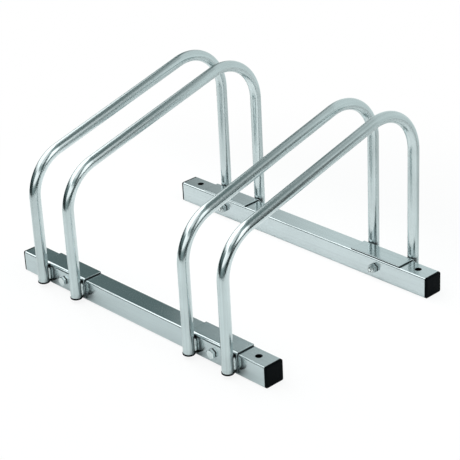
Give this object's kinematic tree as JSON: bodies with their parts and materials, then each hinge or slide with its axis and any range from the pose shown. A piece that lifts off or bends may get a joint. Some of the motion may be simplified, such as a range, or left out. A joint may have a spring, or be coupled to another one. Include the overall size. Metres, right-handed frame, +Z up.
{
  "type": "bike rack",
  "caption": "Low floor-standing bike rack of square floor rails and sloping bent-tube hoops in pairs; each bicycle wheel stands in the slot between the hoops of a pair.",
  "frame": {"origin": "on the floor, under the middle of the rack", "axes": "+X along the floor rails to the right, +Y from the low front of the hoops to their high rear, +Z up"},
  "size_m": [0.4, 0.308, 0.2165],
  "materials": {
    "rail_steel": "bright zinc plate, fine lengthwise draw lines",
    "hoop_steel": "bright zinc plate on drawn and bent round tube",
    "bracket_steel": "bright zinc plate on folded sheet",
    "fastener_steel": "bright zinc plate on hexagon bolts and nuts",
    "weld_steel": "zinc plate over rippled weld beads",
    "cap_plastic": "satin black moulded polyethylene",
    "plug_plastic": "satin black moulded polyethylene"
  },
  "bodies": {
    "root": {"front_rail": "rail_steel", "rear_rail": "rail_steel", "rail_cap_front_left": "cap_plastic", "rail_cap_front_right": "cap_plastic", "rail_cap_rear_left": "cap_plastic", "rail_cap_rear_right": "cap_plastic", "hoop_left_outer": "hoop_steel", "hoop_left_inner": "hoop_steel", "hoop_right_inner": "hoop_steel", "hoop_right_outer": "hoop_steel", "bracket_front_left": "bracket_steel", "bracket_front_right": "bracket_steel", "bracket_rear_left": "bracket_steel", "bracket_rear_right": "bracket_steel", "weld_seams_front_left": "weld_steel", "weld_seams_front_right": "weld_steel", "weld_seams_rear_left": "weld_steel", "weld_seams_rear_right": "weld_steel", "bolt_front_left": "fastener_steel", "bolt_front_right": "fastener_steel", "bolt_rear_left": "fastener_steel", "bolt_rear_right": "fastener_steel", "nut_front_left": "fastener_steel", "nut_front_right": "fastener_steel", "nut_rear_left": "fastener_steel", "nut_rear_right": "fastener_steel", "foot_plug_left_outer_front": "plug_plastic", "foot_plug_left_outer_rear": "plug_plastic", "foot_plug_left_inner_front": "plug_plastic", "foot_plug_left_inner_rear": "plug_plastic", "foot_plug_right_inner_front": "plug_plastic", "foot_plug_right_inner_rear": "plug_plastic", "foot_plug_right_outer_front": "plug_plastic", "foot_plug_right_outer_rear": "plug_plastic"}
  },
  "joints": []
}
